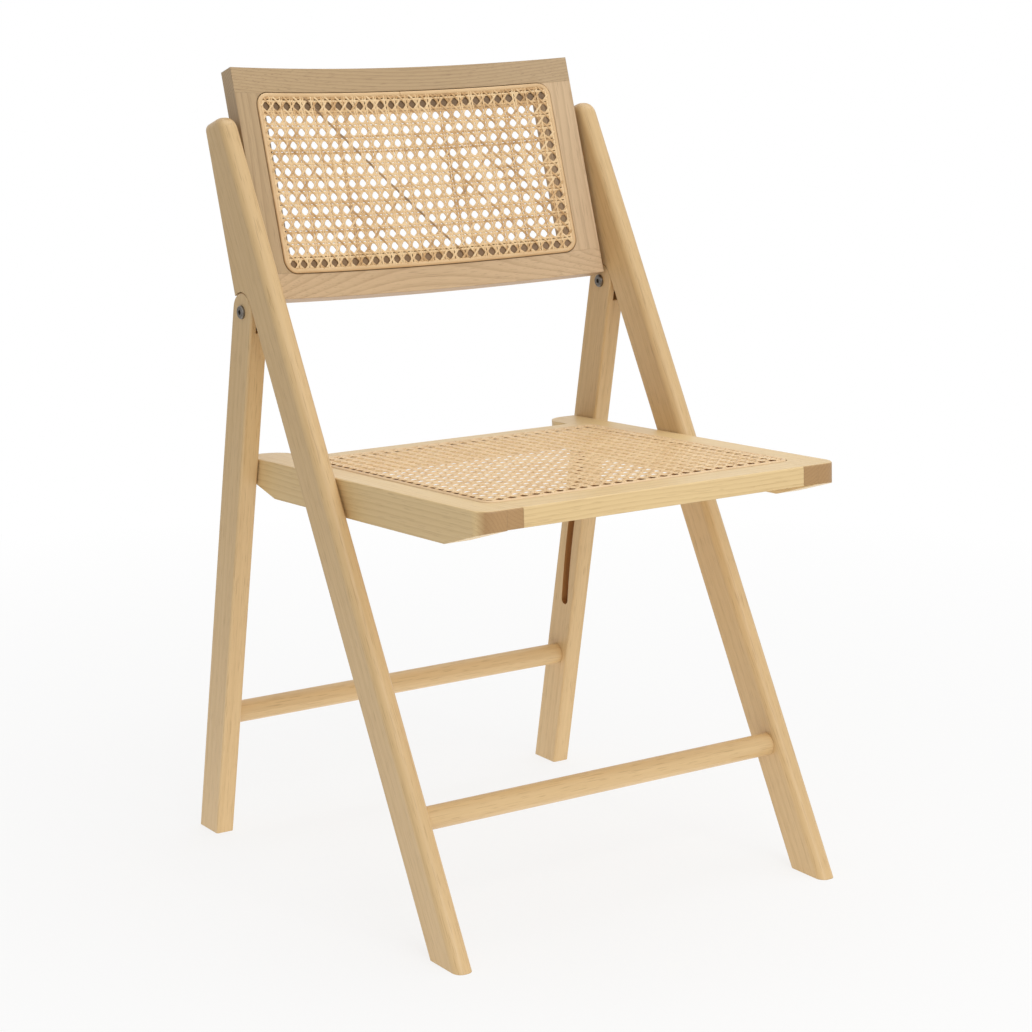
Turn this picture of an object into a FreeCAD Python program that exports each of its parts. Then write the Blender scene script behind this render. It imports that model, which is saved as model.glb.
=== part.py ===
import FreeCAD, Part
import math
import os

from FreeCAD import Placement, Rotation, Vector

# Folding chair with a caned seat and a curved caned backrest, in millimetres and degrees.
# The chair faces -Y and stands on z = 0. X is symmetric about the middle of the chair.

# Stance
outer_width = 460.0
pivot_height = 572.0
seat_reach = 401.0
front_leg_lean = 29.2
rear_leg_lean = 10.5

# Legs
leg_thickness = 20.0
front_leg_width = 41.0
front_leg_top = 193.0
front_leg_top_round = 17.0
front_edge_round = 8.5
shoulder_offset = 8.0
shoulder_lean = 18.4
rear_leg_width = 39.2
rear_edge_round = 2.5
fold_gap = 0.5

# Pivot between front and rear legs
tongue_thickness = 7.0
tongue_radius = 15.5
tongue_side_gap = 0.3
slot_floor_gap = 1.5
nut_barrel = 8.0
bolt_shank = 5.0
bolt_head = 13.5
bolt_head_height = 2.8
bolt_head_chamfer = 1.0
bolt_socket = 4.6
bolt_socket_depth = 1.8
bolt_end_gap = 1.5

# Rungs
rung_diameter = 23.0
rung_tenon = 15.0
rung_tenon_length = 12.0
front_rung_height = 122.0
rear_rung_height = 133.0

# Seat
seat_height = 436.5
seat_slope = 2.5
seat_behind_pivot = 44.0
seat_leg_gap = 1.0
side_rail_width = 27.5
side_rail_depth = 37.0
side_rail_end = 19.5
side_rail_slant = 63.0
inner_strip_width = 18.0
seat_rail_thickness = 19.0
front_rail_width = 53.0
rear_rail_width = 42.0
rear_horn = 48.0
seat_front_round = 18.0
seat_rear_round = 28.0
side_rail_corner_round = 10.0
seat_edge_round = 2.0
seat_border_front = 35.0
seat_border_side = 29.5
seat_border_rear = 24.0

# Seat pins
pivot_pin = 8.0
pivot_pin_depth = 11.0
pivot_pin_drop = 10.5
pivot_pin_from_edge = 24.0
slide_pin = 6.0
slide_pin_depth = 7.0
slide_pin_drop = 16.5
slide_pin_forward = 9.0
slide_end_forward = 4.0
pin_in_rail = 20.0
pin_end_gap = 1.0
groove_width = 11.5
groove_clearance = 0.9
groove_run_out = 16.0

# Backrest
back_leg_gap = 5.0
back_recline = 18.0
back_above_pivot = 12.0
back_ahead = 14.5
back_height = 238.0
back_thickness = 20.5
back_sag = 21.6
back_rail_height = 44.0
back_rail_end_height = 26.0
back_stile_width = 34.5
back_border = 25.0
back_dowel = 9.0
back_dowel_in_leg = 12.0
back_dowel_wall = 6.0
back_dowel_low = 52.0
back_dowel_high = 128.0

# Cane and the reed spline that holds it
cane_thickness = 1.6
cane_pitch = 13.35
cane_gap = 6.8
net_step = 2
spline_width = 5.4
spline_proud = 1.6
spline_depth = 4.5
spline_gap = 0.3
spline_corner = 15.0
seat_spline_corner = 14.0

# Hidden dowels of the frames
dowel_sides = 12
frame_dowel = 6.0
frame_dowel_length = 30.0
dowel_spacing = 18.0
stile_dowel_from_end = 10.0

# Fits
running_fit = 0.05
glue_gap = 0.1

# Values worked out from the sizes above
outer_x = outer_width / 2
inner_x = outer_x - leg_thickness
back_half_width = inner_x - back_leg_gap
back_bottom_height = pivot_height + back_above_pivot
seat_length = seat_reach + seat_behind_pivot
front_lean = math.radians(front_leg_lean)
rear_lean = math.radians(rear_leg_lean)
rear_foot_reach = pivot_height * math.tan(rear_lean) + rear_leg_width / 2 / math.cos(rear_lean)
pivot_y = (seat_reach - rear_foot_reach) / 2
seat_front_y = pivot_y - seat_reach
rear_edge = -(rear_leg_width / 2 + fold_gap)
front_edge = rear_edge - front_leg_width
fold_angle = front_leg_lean + rear_leg_lean
big = 2 * (pivot_height + seat_reach + outer_width)

# Placements: each group is drawn upright in its own frame and then leaned about X
front_leg_place = Placement(Vector(0, pivot_y, pivot_height), Rotation(Vector(1, 0, 0), -front_leg_lean))
rear_leg_place = Placement(Vector(0, pivot_y, pivot_height), Rotation(Vector(1, 0, 0), rear_leg_lean))
seat_place = Placement(Vector(0, seat_front_y, seat_height), Rotation(Vector(1, 0, 0), -seat_slope))
back_place = Placement(
    Vector(0, pivot_y - back_ahead, back_bottom_height), Rotation(Vector(1, 0, 0), -back_recline)
)


def line(a, b):
    return Part.LineSegment(a, b).toShape()


def arc(a, b, c):
    return Part.Arc(a, b, c).toShape()


def in_side_plane(y, z):
    return Vector(0, y, z)


def extrude_edges(edges, direction):
    return Part.Face(Part.Wire(edges)).extrude(direction)


def side_profile(points, x_from, x_to):
    """Closed polygon in the side plane, given thickness between two X values."""
    corners = [Vector(x_from, y, z) for y, z in points]
    wire = Part.makePolygon(corners + corners[:1])
    return Part.Face(wire).extrude(Vector(x_to - x_from, 0, 0))


def box(x_from, x_to, y_from, y_to, z_from, z_to):
    return Part.makeBox(x_to - x_from, y_to - y_from, z_to - z_from, Vector(x_from, y_from, z_from))


def rod(x_from, x_to, y, z, diameter):
    """Round rod along X."""
    return Part.makeCylinder(diameter / 2, x_to - x_from, Vector(x_from, y, z), Vector(1, 0, 0))


def dowel_prism(base, axis, length, diameter):
    """Hidden dowel, tenon or shank, or the hole for it, as a prism with few sides along an axis."""
    corners = []
    for corner in range(dowel_sides):
        angle = 2 * math.pi * corner / dowel_sides
        corners.append(Vector(diameter / 2 * math.cos(angle), diameter / 2 * math.sin(angle), 0))
    prism = Part.Face(Part.makePolygon(corners + corners[:1])).extrude(Vector(0, 0, length))
    return placed(prism, Placement(base, Rotation(Vector(0, 0, 1), axis)))


def placed(shape, placement):
    moved = shape.copy()
    moved.Placement = placement.multiply(moved.Placement)
    return moved


def mirrored(shape):
    return shape.mirror(Vector(0, 0, 0), Vector(1, 0, 0))


def round_edges(shape, radius, chosen):
    """Fillet the edges whose middle point passes the test."""
    edges = [edge for edge in shape.Edges if chosen(edge)]
    return shape.makeFillet(radius, edges)


def middle(edge):
    return edge.valueAt((edge.FirstParameter + edge.LastParameter) / 2)


def runs_along_x(edge):
    a = edge.Vertexes[0].Point
    b = edge.Vertexes[-1].Point
    return abs(a.x - b.x) > 0.5 * edge.Length


def save(name, shapes):
    parts = shapes if isinstance(shapes, list) else [shapes]
    solids = [solid for part in parts for solid in part.Solids]
    whole = solids[0] if len(solids) == 1 else Part.makeCompound(solids)
    whole.exportStep(os.path.join("parts", name + ".step"))


def turned(point, centre, degrees):
    """Turn a side-plane point about a centre by degrees, positive from +Y towards +Z."""
    a = math.radians(degrees)
    y = point.y - centre.y
    z = point.z - centre.z
    return Vector(
        0, centre.y + y * math.cos(a) - z * math.sin(a), centre.z + y * math.sin(a) + z * math.cos(a)
    )


# Fold geometry: seat pivot in the front leg, slide pin in the groove of the rear leg
pivot_point = in_side_plane(pivot_y, pivot_height)


def on_seat_line(start, direction, drop):
    """Where a leg's line crosses the seat line that lies a drop below the seat's top face."""
    slope = math.radians(seat_slope)
    up = in_side_plane(math.sin(slope), math.cos(slope))
    base = in_side_plane(seat_front_y, seat_height) - up * drop
    reach = (base - start).dot(up) / direction.dot(up)
    return start + direction * reach


front_axis = in_side_plane(math.sin(front_lean), math.cos(front_lean))
front_rearward = in_side_plane(math.cos(front_lean), -math.sin(front_lean))
rear_down = in_side_plane(math.sin(rear_lean), -math.cos(rear_lean))
rear_forward = in_side_plane(-math.cos(rear_lean), -math.sin(rear_lean))
seat_pivot = on_seat_line(
    pivot_point + front_rearward * (rear_edge - pivot_pin_from_edge), front_axis, pivot_pin_drop
)
slide_point = on_seat_line(pivot_point + rear_forward * slide_pin_forward, rear_down, slide_pin_drop)
seat_arm = slide_point - seat_pivot

# When folded the groove lies along the front leg, which gives the seat's full turn
pivot_to_groove = -slide_end_forward - (rear_edge - pivot_pin_from_edge)
folded_along = math.sqrt(seat_arm.Length ** 2 - pivot_to_groove ** 2)
folded_arm = front_rearward * pivot_to_groove - front_axis * folded_along
seat_turn = math.degrees(
    math.atan2(seat_arm.z, seat_arm.y) - math.atan2(folded_arm.z, folded_arm.y)
)


def slide_in_leg(share):
    """Slide pin at a share of the fold, as (forward of the leg's centre line, down from the bolt)."""
    point = turned(slide_point, seat_pivot, -seat_turn * share)
    back = turned(point, pivot_point, fold_angle * share) - pivot_point
    return back.dot(rear_forward), back.dot(rear_down)


# Front legs
def front_leg():
    lean = math.radians(front_leg_lean - shoulder_lean)
    notch = -rear_edge
    low = -(pivot_height / math.cos(front_lean) + 2 * front_leg_width)

    def upper_edge(along):
        y = shoulder_offset * math.cos(lean) - along * math.sin(lean)
        return in_side_plane(y, shoulder_offset * math.sin(lean) + along * math.cos(lean))

    notch_end = upper_edge(math.sqrt(notch ** 2 - shoulder_offset ** 2))
    top_rear = upper_edge((front_leg_top - shoulder_offset * math.sin(lean)) / math.cos(lean))
    notch_middle = (math.atan2(notch_end.z, notch_end.y) + math.pi) / 2
    foot_rear = in_side_plane(rear_edge, low)
    foot_front = in_side_plane(front_edge, low)
    top_front = in_side_plane(front_edge, top_rear.z - (top_rear.y - front_edge) * math.tan(lean))
    notch_start = in_side_plane(rear_edge, 0)
    edges = [
        line(foot_rear, foot_front),
        line(foot_front, top_front),
        line(top_front, top_rear),
        line(top_rear, notch_end),
        arc(
            notch_end,
            in_side_plane(notch * math.cos(notch_middle), notch * math.sin(notch_middle)),
            notch_start,
        ),
        line(notch_start, foot_rear),
    ]
    plank = extrude_edges(edges, Vector(leg_thickness, 0, 0))

    def top_corner(edge):
        point = middle(edge)
        return runs_along_x(edge) and (point - top_front).y < 1e-6 and point.z > low + 1

    plank = round_edges(plank, front_leg_top_round, top_corner)

    def on_front(edge):
        point = middle(edge)
        ahead = point.y < front_edge + 0.5 * front_leg_top_round
        over = point.z > top_front.z
        beside = point.y < top_rear.y - 1
        return (ahead or (over and beside)) and point.z > low + 1 and not runs_along_x(edge)

    plank = round_edges(plank, front_edge_round, on_front)

    tongue_x = (leg_thickness - tongue_thickness) / 2
    disc = rod(tongue_x, tongue_x + tongue_thickness, 0, 0, 2 * tongue_radius)
    root = rear_edge - 0.2 * front_leg_width
    neck_top = notch_end * (tongue_radius / notch)
    neck = side_profile(
        [(root, 0), (0, 0), (neck_top.y, neck_top.z), (root, neck_top.z)],
        tongue_x, tongue_x + tongue_thickness,
    )
    bore = rod(-1, leg_thickness + 1, 0, 0, nut_barrel + 2 * running_fit)
    whole = plank.fuse([disc, neck]).cut(bore).removeSplitter()
    whole.translate(Vector(inner_x, 0, 0))
    whole = placed(whole, front_leg_place)

    cuts = [
        box(-big, big, -big, big, -big, 0),
        rung_mortise(front_rung_centre()),
        rod(
            inner_x - 1, inner_x + pivot_pin_depth + pin_end_gap, seat_pivot.y, seat_pivot.z,
            pivot_pin + 2 * running_fit,
        ),
    ]
    for point in back_dowel_centres():
        cuts.append(back_leg_dowel(point, glue_gap))
    return whole.cut(cuts)


def front_rung_centre():
    offset = (rear_edge + front_edge) / 2
    along = (front_rung_height - pivot_height + offset * math.sin(front_lean)) / math.cos(front_lean)
    return front_leg_place.multVec(in_side_plane(offset, along))


def rear_rung_centre():
    along = (rear_rung_height - pivot_height) / math.cos(rear_lean)
    return rear_leg_place.multVec(in_side_plane(0, along))


def rung(centre):
    body = rod(-inner_x, inner_x, centre.y, centre.z, rung_diameter)
    reach = inner_x + rung_tenon_length
    start = Vector(-reach, centre.y, centre.z)
    return body.fuse(dowel_prism(start, Vector(1, 0, 0), 2 * reach, rung_tenon)).removeSplitter()


def rung_mortise(centre):
    depth = rung_tenon_length + pin_end_gap
    start = Vector(inner_x - 1, centre.y, centre.z)
    return dowel_prism(start, Vector(1, 0, 0), depth + 1, rung_tenon + 2 * glue_gap)


# Rear legs
def rear_leg():
    half = rear_leg_width / 2
    low = -(pivot_height / math.cos(rear_lean) + rear_leg_width)
    edges = [
        line(in_side_plane(half, low), in_side_plane(-half, low)),
        line(in_side_plane(-half, low), in_side_plane(-half, 0)),
        arc(in_side_plane(-half, 0), in_side_plane(0, half), in_side_plane(half, 0)),
        line(in_side_plane(half, 0), in_side_plane(half, low)),
    ]
    plank = extrude_edges(edges, Vector(leg_thickness, 0, 0))

    def long_edge(edge):
        return middle(edge).z > low + 1 and not runs_along_x(edge)

    plank = round_edges(plank, rear_edge_round, long_edge)
    slot_half = tongue_thickness / 2 + tongue_side_gap
    slot = box(
        leg_thickness / 2 - slot_half, leg_thickness / 2 + slot_half,
        -rear_leg_width, rear_leg_width, -(tongue_radius + slot_floor_gap), rear_leg_width,
    )
    bore = rod(-1, leg_thickness + 1, 0, 0, nut_barrel + 2 * running_fit)
    whole = plank.cut([slot, bore, slide_groove()])
    whole.translate(Vector(inner_x, 0, 0))
    whole = placed(whole, rear_leg_place)
    return whole.cut([box(-big, big, -big, big, -big, 0), rung_mortise(rear_rung_centre())])


def turn_sign(centre, points):
    first = points[0] - centre
    last = points[-1] - centre
    return math.copysign(1, first.y * last.z - first.z * last.y)


def slide_groove():
    """Gently bowed groove, a stadium along the arc that keeps the slide pin inside at every fold."""
    slack = (groove_width - slide_pin) / 2 - groove_clearance
    shares = (0.0, 0.5, 1.0)
    shifts = (-slack, slack, -slack)
    ends = []
    for share, shift in zip(shares, shifts):
        forward, down = slide_in_leg(share)
        ends.append(in_side_plane(-(forward + shift), -down))
    circle = arc(*ends).Curve
    centre = circle.Center
    half = groove_width / 2

    def beside(point, distance):
        return centre + (point - centre) * (1 + distance / circle.Radius)

    def past_end(point, other):
        radial = (point - centre).normalize()
        along = Vector(0, -radial.z, radial.y)
        if along.dot(point - other) < 0:
            along = along * -1
        return point + along * half

    top, mid, pin_end = ends
    bottom = turned(pin_end, centre, math.degrees(groove_run_out / circle.Radius) * turn_sign(centre, ends))
    edges = [
        arc(beside(top, half), beside(mid, half), beside(bottom, half)),
        arc(beside(bottom, half), past_end(bottom, mid), beside(bottom, -half)),
        arc(beside(bottom, -half), beside(mid, -half), beside(top, -half)),
        arc(beside(top, -half), past_end(top, mid), beside(top, half)),
    ]
    depth = slide_pin_depth + pin_end_gap
    groove = extrude_edges(edges, Vector(depth + 1, 0, 0))
    groove.translate(Vector(-1, 0, 0))
    return groove


# Bolts of the leg pivots
def bolt_head_solid(x_inner, outward):
    head = Part.makeCylinder(bolt_head / 2, bolt_head_height, Vector(x_inner, 0, 0), Vector(outward, 0, 0))
    face_x = x_inner + outward * bolt_head_height
    rim = [edge for edge in head.Edges if abs(middle(edge).x - face_x) < 1e-6]
    head = head.makeChamfer(bolt_head_chamfer, rim)
    corner_radius = bolt_socket / math.sqrt(3)
    corners = []
    for corner in range(6):
        angle = math.radians(60 * corner)
        corners.append(Vector(face_x, corner_radius * math.cos(angle), corner_radius * math.sin(angle)))
    socket = Part.Face(Part.makePolygon(corners + corners[:1]))
    return head.cut(socket.extrude(Vector(-outward * bolt_socket_depth, 0, 0)))


def pivot_bolt():
    shank_end = inner_x + bolt_end_gap + bolt_shank
    shank = dowel_prism(Vector(shank_end, 0, 0), Vector(1, 0, 0), outer_x - shank_end, bolt_shank)
    bolt = bolt_head_solid(outer_x, 1).fuse(shank).removeSplitter()
    return placed(bolt, Placement(pivot_point, Rotation()))


def pivot_nut():
    barrel = rod(inner_x, outer_x - bolt_end_gap, 0, 0, nut_barrel)
    start = Vector(inner_x + bolt_shank, 0, 0)
    barrel = barrel.cut(
        dowel_prism(start, Vector(1, 0, 0), leg_thickness, bolt_shank + 2 * running_fit)
    )
    nut = bolt_head_solid(inner_x, -1).fuse(barrel).removeSplitter()
    return placed(nut, Placement(pivot_point, Rotation()))


# Cane nets
def net_gaps(half_x, low, high):
    """Square gaps of a net that is drawn coarser than the cane, centred in the opening behind it."""
    pitch = net_step * cane_pitch
    gap = net_step * cane_gap
    columns = int(2 * half_x / pitch)
    rows = int((high - low) / pitch)
    outlines = []
    for row in range(rows):
        for column in range(columns):
            left = (column - (columns - 1) / 2) * pitch - gap / 2
            near = (low + high) / 2 + (row - (rows - 1) / 2) * pitch - gap / 2
            square = Part.makePolygon([
                Vector(left, near, 0), Vector(left, near + gap, 0), Vector(left + gap, near + gap, 0),
                Vector(left + gap, near, 0), Vector(left, near, 0),
            ])
            outlines.append(square)
    return outlines


# Seat, drawn with its top face at z = 0, its front edge at y = 0 and the rear along +Y
seat_half = inner_x - seat_leg_gap
strip_outer = seat_half - side_rail_width
strip_inner = strip_outer - inner_strip_width
rear_rail_end = seat_length - rear_horn
rear_rail_start = rear_rail_end - rear_rail_width


def rounded_ring(half_x, low, high, corner, width, depth_axis):
    """Picture-frame ring: outer outline, inset by width, as a prism along the depth axis."""
    outer = rounded_rectangle(half_x, low, high, corner)
    inner = rounded_rectangle(half_x - width, low + width, high - width, corner - width)
    return outer.extrude(depth_axis).cut(inner.extrude(depth_axis))


def rounded_rectangle(half_x, low, high, corner):
    plate = Part.makeBox(2 * half_x, high - low, 1, Vector(-half_x, low, 0))
    upright = [edge for edge in plate.Edges if abs(middle(edge).z - 0.5) < 0.1]
    plate = plate.makeFillet(corner, upright)
    bottom = [face for face in plate.Faces if abs(face.CenterOfMass.z) < 1e-6]
    return bottom[0]


def seat_ring(inset, width, z_low, z_high):
    half_x = seat_half - seat_border_side - inset
    ring = rounded_ring(
        half_x, seat_border_front + inset, rear_rail_end - seat_border_rear - inset,
        seat_spline_corner - inset, width, Vector(0, 0, z_high - z_low),
    )
    ring.translate(Vector(0, 0, z_low))
    return ring


def seat_groove():
    return seat_ring(0, spline_width + 2 * spline_gap, -spline_depth, 1)


def rear_corner_cut():
    """Removes what lies outside the large round on the inner rear corner of each side."""
    reach = box(
        strip_inner - 1, strip_inner + seat_rear_round,
        seat_length - seat_rear_round, seat_length + 1, -big, big,
    )
    keep = Part.makeCylinder(
        seat_rear_round, 2 * big,
        Vector(strip_inner + seat_rear_round, seat_length - seat_rear_round, -big),
    )
    return reach.cut(keep)


def seat_pin_holes():
    pivot = seat_place.inverse().multVec(seat_pivot)
    slide = seat_place.inverse().multVec(slide_point)
    start = seat_half - pin_in_rail - glue_gap
    return [
        rod(start, seat_half + 1, pivot.y, pivot.z, pivot_pin + 2 * glue_gap),
        rod(start, seat_half + 1, slide.y, slide.z, slide_pin + 2 * glue_gap),
    ]


def seat_dowel_rows():
    """Run positions of the dowels at each end of the front and rear rails."""
    rows = []
    for start, width in ((0, front_rail_width), (rear_rail_start, rear_rail_width)):
        rows.append(start + width / 2 - dowel_spacing / 2)
        rows.append(start + width / 2 + dowel_spacing / 2)
    return rows


def seat_dowel(row, extra):
    reach = frame_dowel_length / 2 + extra
    start = Vector(strip_inner - reach, row, -seat_dowel_drop())
    return dowel_prism(start, Vector(1, 0, 0), 2 * reach, frame_dowel + 2 * extra)


def seat_dowel_drop():
    return (spline_depth + seat_rail_thickness) / 2


def seat_dowel_holes():
    return [seat_dowel(row, glue_gap) for row in seat_dowel_rows()]


def side_rail():
    profile = [
        (0, 0), (seat_length, 0), (seat_length, -side_rail_end),
        (seat_length - side_rail_slant, -side_rail_depth),
        (side_rail_slant, -side_rail_depth), (0, -side_rail_end),
    ]
    rail = side_profile(profile, strip_outer, seat_half)

    def front_corner(edge):
        point = middle(edge)
        return abs(point.x - seat_half) < 1e-6 and abs(point.y) < 1e-6

    rail = round_edges(rail, seat_front_round, front_corner)

    def low_corner(edge):
        return runs_along_x(edge) and abs(middle(edge).z + side_rail_depth) < 1e-6

    rail = round_edges(rail, side_rail_corner_round, low_corner)

    def outer_long(edge):
        point = middle(edge)
        outside = point.x > strip_outer + 0.5
        return outside and abs(point.z) < 1e-6 and point.y < seat_length - 1

    rail = round_edges(rail, seat_edge_round, outer_long)
    rail = rail.cut([rear_corner_cut()] + seat_pin_holes() + seat_dowel_holes())
    return placed(rail, seat_place)


def is_top_cross_edge(edge, run):
    point = middle(edge)
    return runs_along_x(edge) and abs(point.y - run) < 1e-6 and abs(point.z) < 1e-6


def inner_strip():
    strip = box(strip_inner, strip_outer, 0, seat_length, -seat_rail_thickness, 0)
    strip = round_edges(strip, seat_edge_round, lambda edge: is_top_cross_edge(edge, 0))
    strip = strip.cut([rear_corner_cut(), seat_groove()] + seat_dowel_holes())
    return placed(strip, seat_place)


def seat_cross_rail(start, width, rounded_at):
    rail = box(-strip_inner, strip_inner, start, start + width, -seat_rail_thickness, 0)
    rail = round_edges(rail, seat_edge_round, lambda edge: is_top_cross_edge(edge, rounded_at))
    holes = seat_dowel_holes()
    return placed(rail.cut([seat_groove()] + holes + [mirrored(hole) for hole in holes]), seat_place)


def seat_spline():
    return placed(
        seat_ring(spline_gap, spline_width, -spline_depth, spline_proud), seat_place
    )


def seat_cane():
    inset = spline_gap + spline_width + glue_gap
    sheet = rounded_rectangle(
        seat_half - seat_border_side - inset, seat_border_front + inset,
        rear_rail_end - seat_border_rear - inset, seat_spline_corner - inset,
    )
    gaps = net_gaps(strip_inner, front_rail_width, rear_rail_start)
    net = Part.Face([sheet.OuterWire] + gaps)
    return placed(net.extrude(Vector(0, 0, cane_thickness)), seat_place)


def seat_pin(point, diameter, depth):
    return rod(seat_half - pin_in_rail, inner_x + depth, point.y, point.z, diameter)


# Backrest, drawn with X across, y from the front face rearward and z up the panel
back_radius = (back_half_width ** 2 + back_sag ** 2) / (2 * back_sag)


def back_depth(x, offset):
    """How far behind the line of the front corners the face with this offset lies at X."""
    return back_sag - back_radius + math.sqrt((back_radius + offset) ** 2 - x ** 2)


def back_slab(front, rear, half_x, low, high):
    """Curved slab between two offsets from the front face."""
    a = Vector(-half_x, back_depth(half_x, front), low)
    b = Vector(half_x, back_depth(half_x, front), low)
    c = Vector(half_x, back_depth(half_x, rear), low)
    d = Vector(-half_x, back_depth(half_x, rear), low)
    edges = [
        arc(a, Vector(0, back_sag + front, low), b),
        line(b, c),
        arc(c, Vector(0, back_sag + rear, low), d),
        line(d, a),
    ]
    return extrude_edges(edges, Vector(0, 0, high - low))


def upright_prism(flat):
    """Turn a shape drawn flat in X and Y into one standing in X and Z, with its depth along Y."""
    turned_up = flat.copy()
    turned_up.rotate(Vector(0, 0, 0), Vector(1, 0, 0), 90)
    turned_up.translate(Vector(0, 4 * back_sag + 4 * back_thickness, 0))
    return turned_up


def back_ring(inset, width):
    deep = Vector(0, 0, 8 * back_sag + 8 * back_thickness)
    return upright_prism(rounded_ring(
        back_half_width - back_border - inset, back_border + inset, back_height - back_border - inset,
        spline_corner - inset, width, deep,
    ))


def back_groove():
    ring = back_ring(0, spline_width + 2 * spline_gap)
    return ring.common(back_slab(-back_thickness, spline_depth, back_half_width - 1, 1, back_height - 1))


def back_dowel_centres():
    """Where the dowels between backrest and legs pass, in the chair's frame."""
    depth = back_depth(back_half_width, back_thickness / 2)
    centres = []
    for height in (back_dowel_low, back_dowel_high):
        centres.append(back_place.multVec(in_side_plane(depth, height)))
    return centres


def back_leg_dowel(point, extra):
    start = back_half_width - (back_border - back_dowel_wall) - extra
    end = inner_x + back_dowel_in_leg + extra
    base = Vector(start, point.y, point.z)
    return dowel_prism(base, Vector(1, 0, 0), end - start, back_dowel + 2 * extra)


def stile_dowel_spots():
    middle_x = back_half_width - back_stile_width / 2
    spots = []
    for joint in (back_rail_end_height, back_height - back_rail_end_height):
        for side in (-1, 1):
            spots.append((middle_x + side * (back_stile_width / 2 - stile_dowel_from_end), joint))
    return spots


def stile_dowel(x, joint, extra):
    reach = frame_dowel_length / 2 + extra
    depth = back_depth(x, (spline_depth + back_thickness) / 2)
    start = Vector(x, depth, joint - reach)
    return dowel_prism(start, Vector(0, 0, 1), 2 * reach, frame_dowel + 2 * extra)


def stile_dowel_holes():
    return [stile_dowel(x, joint, glue_gap) for x, joint in stile_dowel_spots()]


def back_rail(low, high, notch_low, notch_high):
    rail = back_slab(0, back_thickness, back_half_width, low, high)
    stile_inner = back_half_width - back_stile_width
    notch = box(stile_inner, 2 * back_half_width, -big, big, notch_low, notch_high)
    holes = stile_dowel_holes()
    cuts = [notch, mirrored(notch), back_groove()] + holes + [mirrored(hole) for hole in holes]
    return placed(rail.cut(cuts), back_place)


def back_stile():
    slab = back_slab(
        0, back_thickness, back_half_width, back_rail_end_height, back_height - back_rail_end_height
    )
    side = box(back_half_width - back_stile_width, 2 * back_half_width, -big, big, -big, big)
    stile = slab.common(side).cut([back_groove()] + stile_dowel_holes())
    stile = placed(stile, back_place)
    return stile.cut([back_leg_dowel(point, glue_gap) for point in back_dowel_centres()])


def back_spline():
    ring = back_ring(spline_gap, spline_width)
    slab = back_slab(-spline_proud, spline_depth - glue_gap, back_half_width - 1, 1, back_height - 1)
    return placed(ring.common(slab), back_place)


def back_cane():
    inset = spline_gap + spline_width + glue_gap
    sheet = rounded_rectangle(
        back_half_width - back_border - inset, back_border + inset, back_height - back_border - inset,
        spline_corner - inset,
    )
    gaps = net_gaps(
        back_half_width - back_stile_width, back_rail_height, back_height - back_rail_height
    )
    holed = Part.Face([sheet.OuterWire] + gaps)
    net = upright_prism(holed.extrude(Vector(0, 0, 8 * back_sag + 8 * back_thickness)))
    slab = back_slab(
        -cane_thickness - glue_gap, -glue_gap, back_half_width - 1, 1, back_height - 1
    )
    return placed(net.common(slab), back_place)


def save_pair(name, shape):
    save(name + "_right", shape)
    save(name + "_left", mirrored(shape))


def both_sides(shapes):
    return shapes + [mirrored(shape) for shape in shapes]


def placed_pair(shapes, placement):
    return [placed(shape, placement) for shape in both_sides(shapes)]


os.makedirs("parts", exist_ok=True)
save_pair("front_leg", front_leg())
save("front_rung", rung(front_rung_centre()))
save_pair("rear_leg", rear_leg())
save("rear_rung", rung(rear_rung_centre()))
save("pivot_bolts", both_sides([pivot_bolt()]))
save("pivot_cap_nuts", both_sides([pivot_nut()]))
save_pair("seat_side_rail", side_rail())
save_pair("seat_inner_strip", inner_strip())
save("seat_front_rail", seat_cross_rail(0, front_rail_width, 0))
save("seat_rear_rail", seat_cross_rail(rear_rail_start, rear_rail_width, rear_rail_end))
save("seat_dowels", placed_pair([seat_dowel(row, 0) for row in seat_dowel_rows()], seat_place))
save("seat_cane", seat_cane())
save("seat_spline", seat_spline())
save("seat_pivot_pins", both_sides([seat_pin(seat_pivot, pivot_pin, pivot_pin_depth)]))
save("seat_slide_pins", both_sides([seat_pin(slide_point, slide_pin, slide_pin_depth)]))
top_rail_start = back_height - back_rail_height
top_rail_end_start = back_height - back_rail_end_height
save("back_top_rail", back_rail(top_rail_start, back_height, -big, top_rail_end_start))
save("back_bottom_rail", back_rail(0, back_rail_height, back_rail_end_height, big))
save_pair("back_stile", back_stile())
save("back_dowels", placed_pair([stile_dowel(x, joint, 0) for x, joint in stile_dowel_spots()], back_place))
save("back_leg_dowels", both_sides([back_leg_dowel(point, 0) for point in back_dowel_centres()]))
save("back_cane", back_cane())
save("back_spline", back_spline())

print("leg pivot y %.2f z %.2f" % (pivot_point.y, pivot_point.z))
print("seat pivot y %.2f z %.2f" % (seat_pivot.y, seat_pivot.z))
print("slide pin y %.2f z %.2f" % (slide_point.y, slide_point.z))
print("seat turn %.3f, rear leg turn %.3f degrees" % (seat_turn, fold_angle))
for step in range(9):
    print("slide pin at %.2f of the fold: forward %.2f, down %.2f" % ((step / 8,) + slide_in_leg(step / 8)))
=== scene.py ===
"""Folding cane chair: finishes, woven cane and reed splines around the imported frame, in metres."""
import math
import random

import bpy
from mathutils import Matrix, Vector


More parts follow.
